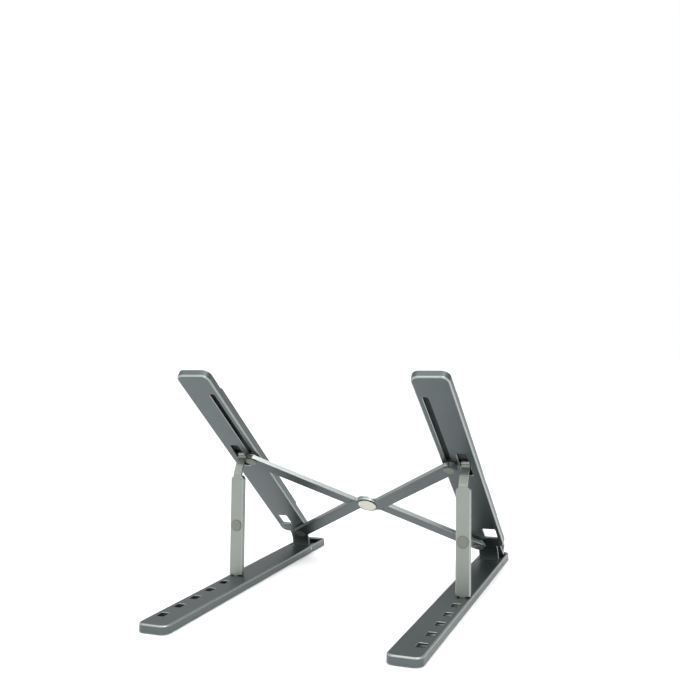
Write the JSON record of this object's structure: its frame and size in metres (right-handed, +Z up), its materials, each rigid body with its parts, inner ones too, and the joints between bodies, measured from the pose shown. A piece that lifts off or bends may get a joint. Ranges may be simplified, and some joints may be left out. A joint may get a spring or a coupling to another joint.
{
  "type": "laptop stand",
  "caption": "Folding aluminium laptop stand: two base bars with level holes, two tilted upper bars on struts, crossed arms between them, flip-up front hooks.",
  "frame": {"origin": "on the table, under the middle of the stand's outline", "axes": "+Z up, +Y to the rear (the raised end), -Y towards the user, +X to the user's right"},
  "size_m": [0.1834, 0.25, 0.1556],
  "materials": {
    "anodised": "satin anodised, grey green",
    "strut_silver": "satin anodised, silver grey",
    "rivet": "satin",
    "centre_rivet": "satin, cream white",
    "pin": "polished",
    "silicone": "matt",
    "rubber": "matt",
    "washer": "nylon, natural"
  },
  "bodies": {
    "right_upper": {"right_upper_bar": "anodised", "right_rear_pad": "silicone", "right_front_pad": "silicone", "right_hook_pin": "pin", "right_strut_pin": "pin", "right_pivot_rivet": "rivet", "right_pivot_washer": "washer"},
    "right_hook": {"right_front_hook": "anodised", "right_hook_pad": "silicone"},
    "right_base": {"right_base_bar": "anodised", "right_base_hinge_pin": "pin", "right_front_foot": "rubber", "right_rear_foot": "rubber"},
    "right_strut": {"right_strut_channel": "strut_silver", "right_strut_plate": "strut_silver", "right_strut_rivet": "rivet"},
    "left_upper": {"left_upper_bar": "anodised", "left_rear_pad": "silicone", "left_front_pad": "silicone", "left_hook_pin": "pin", "left_strut_pin": "pin", "left_pivot_rivet": "rivet", "left_pivot_washer": "washer"},
    "left_hook": {"left_front_hook": "anodised", "left_hook_pad": "silicone"},
    "left_base": {"left_base_bar": "anodised", "left_base_hinge_pin": "pin", "left_front_foot": "rubber", "left_rear_foot": "rubber"},
    "left_strut": {"left_strut_channel": "strut_silver", "left_strut_plate": "strut_silver", "left_strut_rivet": "rivet"},
    "arm_a": {"cross_arm_a": "anodised", "left_slider_rivet": "rivet", "left_slider_washer": "washer", "centre_rivet": "centre_rivet", "centre_washer": "washer"},
    "arm_b": {"cross_arm_b": "anodised", "right_slider_rivet": "rivet", "right_slider_washer": "washer"}
  },
  "joints": [
    {"name": "fold_width", "type": "hinge", "parent": "right_upper", "child": "arm_a", "pos_m": [0.0731, -0.08604, 0.02103], "axis": [0, 0.6307, -0.776], "range_deg": [0, 49.4]},
    {"name": "centre_pivot", "type": "hinge", "parent": "arm_a", "child": "arm_b", "pos_m": [0, -0.04335, 0.05571], "axis": [0, 0.6307, -0.776], "range_deg": [-98.9, 0]},
    {"name": "left_pivot", "type": "hinge", "parent": "arm_b", "child": "left_upper", "pos_m": [-0.0731, -0.08604, 0.02103], "axis": [0, 0.6307, -0.776], "range_deg": [0, 49.5]},
    {"name": "right_base_hinge", "type": "hinge", "parent": "right_upper", "child": "right_base", "pos_m": [0.0782, -0.0946, 0.0035], "axis": [-1, 0, 0], "range_deg": [0, 20]},
    {"name": "right_strut_fold", "type": "hinge", "parent": "right_upper", "child": "right_strut", "pos_m": [0.083, -0.00351, 0.09183], "axis": [-1, 0, 0], "range_deg": [0, 52.1]},
    {"name": "right_hook_flip", "type": "hinge", "parent": "right_upper", "child": "right_hook", "pos_m": [0.0833, -0.09161, 0.02075], "axis": [-1, 0, 0], "range_deg": [0, 180]},
    {"name": "left_base_hinge", "type": "hinge", "parent": "left_upper", "child": "left_base", "pos_m": [-0.0782, -0.0946, 0.0035], "axis": [-1, 0, 0], "range_deg": [0, 20]},
    {"name": "left_strut_fold", "type": "hinge", "parent": "left_upper", "child": "left_strut", "pos_m": [-0.083, -0.00351, 0.09183], "axis": [-1, 0, 0], "range_deg": [0, 52.1]},
    {"name": "left_hook_flip", "type": "hinge", "parent": "left_upper", "child": "left_hook", "pos_m": [-0.0833, -0.09161, 0.02075], "axis": [-1, 0, 0], "range_deg": [0, 180]}
  ],
  "couplings": [
    {"joint": "centre_pivot", "follows": "fold_width", "ratio": -2},
    {"joint": "left_pivot", "follows": "fold_width", "ratio": 1},
    {"joint": "right_strut_fold", "follows": "right_base_hinge", "ratio": 2.6},
    {"joint": "left_strut_fold", "follows": "left_base_hinge", "ratio": 2.6}
  ]
}
